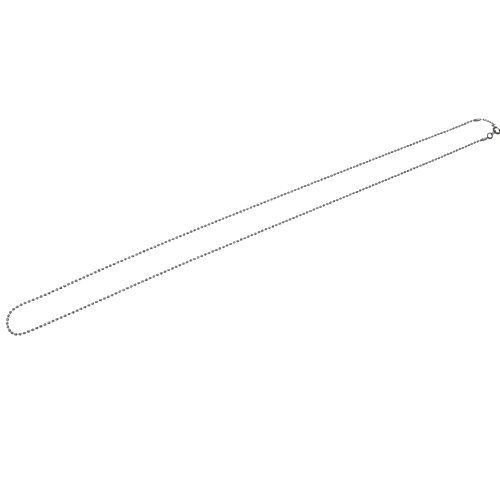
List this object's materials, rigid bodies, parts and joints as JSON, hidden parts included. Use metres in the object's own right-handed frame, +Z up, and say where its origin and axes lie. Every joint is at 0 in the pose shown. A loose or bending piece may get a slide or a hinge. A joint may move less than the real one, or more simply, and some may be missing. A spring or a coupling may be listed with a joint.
{
  "type": "ball chain necklace",
  "caption": "Ball chain necklace, closed, lying as a long narrow loop: a string of small polished balls with end cups, small oval links, a spring ring clasp and an end ring.",
  "frame": {"origin": "middle of the necklace's bounding box, on the surface it lies on", "axes": "+X along the loop towards the clasp, +Y towards the far strand of the picture, +Z up"},
  "size_m": [0.2766, 0.0186, 0.0027],
  "materials": {
    "balls": "polished silver, faceted balls",
    "cups": "polished silver",
    "links": "polished silver",
    "rings": "polished silver",
    "bolt": "polished silver"
  },
  "bodies": {
    "necklace": {"chain_far": "balls", "chain_near": "balls", "far_cup": "cups", "near_cup": "cups", "link_1": "links", "link_2": "links", "link_3": "links", "link_4": "links", "link_5": "links", "hook_link": "links", "end_ring": "rings", "spring_ring": "rings"},
    "bolt": {"spring_ring_bolt": "bolt"}
  },
  "joints": [
    {"name": "bolt_slide_round", "type": "hinge", "parent": "necklace", "child": "bolt", "pos_m": [0.1358, -0.0053, 0.00096], "axis": [0.1408, -0.1408, 0.98], "range_deg": [0, 58], "stiffness_Nm_per_rad": 0.0015, "springref_deg": -28.65}
  ]
}
